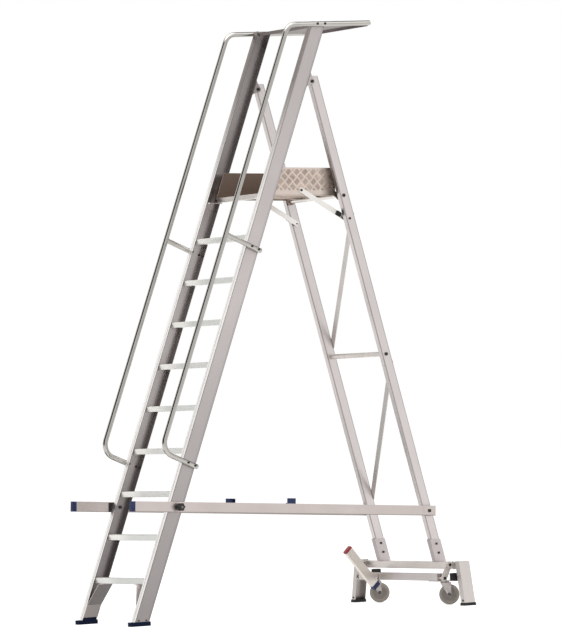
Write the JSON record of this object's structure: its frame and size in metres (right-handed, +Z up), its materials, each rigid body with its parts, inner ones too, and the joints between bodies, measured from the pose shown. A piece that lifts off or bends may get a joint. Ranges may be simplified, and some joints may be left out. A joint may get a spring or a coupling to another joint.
{
  "type": "mobile platform steps",
  "caption": "Folding mobile steps with a toe-boarded platform, tube handrails, a top tray, a wide stabiliser base and a pedal that lowers swivel castors.",
  "frame": {"origin": "on the floor, below the middle of the object's box", "axes": "+Z up, +Y from the steps' front to the rear frame, +X to the right of a person facing the steps"},
  "size_m": [1.1554, 2.3386, 3.5652],
  "materials": {
    "stile_aluminium": "satin extruded",
    "step_aluminium": "bright ribbed",
    "tube_aluminium": "polished tube",
    "tread_plate": "raised bar pattern",
    "tray_sheet": "satin sheet",
    "zinc_steel": "zinc plated",
    "black_plastic": "moulded",
    "grey_plastic": "moulded",
    "blue_plastic": "moulded",
    "red_plastic": "moulded",
    "navy_rubber": "moulded",
    "black_rubber": "moulded",
    "wheel_grey": "moulded tyre"
  },
  "bodies": {
    "ladder": {"stile_left": "stile_aluminium", "stile_right": "stile_aluminium", "step_1": "step_aluminium", "step_2": "step_aluminium", "step_3": "step_aluminium", "step_4": "step_aluminium", "step_5": "step_aluminium", "step_6": "step_aluminium", "step_7": "step_aluminium", "step_8": "step_aluminium", "step_9": "step_aluminium", "step_braces": "stile_aluminium", "front_feet": "navy_rubber", "handrail_left": "tube_aluminium", "handrail_right": "tube_aluminium", "handrail_stubs": "tube_aluminium", "handrail_plugs": "grey_plastic", "handrail_bolts": "zinc_steel", "top_tray": "tray_sheet", "platform_cleats": "stile_aluminium", "hinge_brackets": "stile_aluminium", "ladder_fasteners": "zinc_steel"},
    "rear_frame": {"rear_leg_left": "stile_aluminium", "rear_leg_right": "stile_aluminium", "platform_cross_tube": "stile_aluminium", "middle_crossbar": "stile_aluminium", "frame_diagonals": "stile_aluminium", "leg_sleeves": "stile_aluminium", "stabiliser_beam": "stile_aluminium", "stabiliser_post_left": "stile_aluminium", "stabiliser_post_right": "stile_aluminium", "rear_feet": "black_rubber", "castor_ears": "zinc_steel", "frame_bolts": "zinc_steel"},
    "platform": {"platform_deck": "tread_plate", "platform_nosing": "step_aluminium", "toe_board_left": "tread_plate", "toe_board_right": "tread_plate", "toe_board_rear": "tread_plate", "platform_bolts": "zinc_steel"},
    "castor_lever": {"castor_links": "zinc_steel", "pedal_tube": "stile_aluminium", "pedal_cap_upper": "red_plastic", "pedal_cap_lower": "blue_plastic"},
    "castor_carriage": {"castor_bar": "stile_aluminium", "castor_rubbers": "black_rubber"},
    "brace_left": {"platform_brace_left": "stile_aluminium", "brace_clip_left": "black_plastic"},
    "spreader_left": {"spreader_bar_left": "stile_aluminium", "spreader_plastics_left": "blue_plastic"},
    "knob_left": {"star_knob_left": "black_plastic"},
    "castor_left": {"castor_fork_left": "zinc_steel"},
    "wheel_left": {"castor_wheel_left": "wheel_grey"},
    "brace_right": {"platform_brace_right": "stile_aluminium", "brace_clip_right": "black_plastic"},
    "spreader_right": {"spreader_bar_right": "stile_aluminium", "spreader_plastics_right": "blue_plastic"},
    "knob_right": {"star_knob_right": "black_plastic"},
    "castor_right": {"castor_fork_right": "zinc_steel"},
    "wheel_right": {"castor_wheel_right": "wheel_grey"}
  },
  "joints": [
    {"name": "rear_fold", "type": "hinge", "parent": "ladder", "child": "rear_frame", "pos_m": [0, 0.26269, 3.188], "axis": [-1, 0, 0], "range_deg": [0, 31]},
    {"name": "platform_fold", "type": "hinge", "parent": "rear_frame", "child": "platform", "pos_m": [0, 0.47072, 2.503], "axis": [-1, 0, 0], "range_deg": [0, 65.8]},
    {"name": "pedal_lift", "type": "hinge", "parent": "rear_frame", "child": "castor_lever", "pos_m": [0, 1.06167, 0.247], "axis": [1, 0, 0], "range_deg": [0, 25]},
    {"name": "carriage_level", "type": "hinge", "parent": "castor_lever", "child": "castor_carriage", "pos_m": [0, 1.02067, 0.167], "axis": [-1, 0, 0], "range_deg": [0, 25.1]},
    {"name": "brace_fold_left", "type": "hinge", "parent": "platform", "child": "brace_left", "pos_m": [-0.2525, 0.18572, 2.536], "axis": [1, 0, 0], "range_deg": [0, 12.5]},
    {"name": "spreader_swing_left", "type": "hinge", "parent": "ladder", "child": "spreader_left", "pos_m": [-0.314, -0.82931, 0.678], "axis": [1, 0, 0], "range_deg": [0, 39.9]},
    {"name": "knob_turn_left", "type": "hinge", "parent": "ladder", "child": "knob_left", "pos_m": [-0.34, -0.82931, 0.678], "axis": [-1, 0, 0], "continuous": true},
    {"name": "castor_swivel_left", "type": "hinge", "parent": "castor_carriage", "child": "castor_left", "pos_m": [-0.35197, 1.09067, 0.14], "axis": [0, 0, 1], "continuous": true},
    {"name": "wheel_spin_left", "type": "hinge", "parent": "castor_left", "child": "wheel_left", "pos_m": [-0.33738, 1.11097, 0.064], "axis": [0.8121, -0.5835, 0], "continuous": true},
    {"name": "brace_fold_right", "type": "hinge", "parent": "platform", "child": "brace_right", "pos_m": [0.2525, 0.18572, 2.536], "axis": [1, 0, 0], "range_deg": [0, 12.5]},
    {"name": "spreader_swing_right", "type": "hinge", "parent": "ladder", "child": "spreader_right", "pos_m": [0.314, -0.82931, 0.678], "axis": [1, 0, 0], "range_deg": [0, 39.9]},
    {"name": "knob_turn_right", "type": "hinge", "parent": "ladder", "child": "knob_right", "pos_m": [0.34, -0.82931, 0.678], "axis": [1, 0, 0], "continuous": true},
    {"name": "castor_swivel_right", "type": "hinge", "parent": "castor_carriage", "child": "castor_right", "pos_m": [0.35197, 1.09067, 0.14], "axis": [0, 0, 1], "continuous": true},
    {"name": "wheel_spin_right", "type": "hinge", "parent": "castor_right", "child": "wheel_right", "pos_m": [0.36656, 1.11097, 0.064], "axis": [0.8121, -0.5835, 0], "continuous": true}
  ],
  "couplings": [
    {"joint": "platform_fold", "follows": "rear_fold", "ratio": 2.12},
    {"joint": "carriage_level", "follows": "pedal_lift", "ratio": 1},
    {"joint": "brace_fold_left", "follows": "rear_fold", "ratio": 0.4},
    {"joint": "spreader_swing_left", "follows": "rear_fold", "ratio": 1.285},
    {"joint": "brace_fold_right", "follows": "rear_fold", "ratio": 0.4},
    {"joint": "spreader_swing_right", "follows": "rear_fold", "ratio": 1.285}
  ]
}
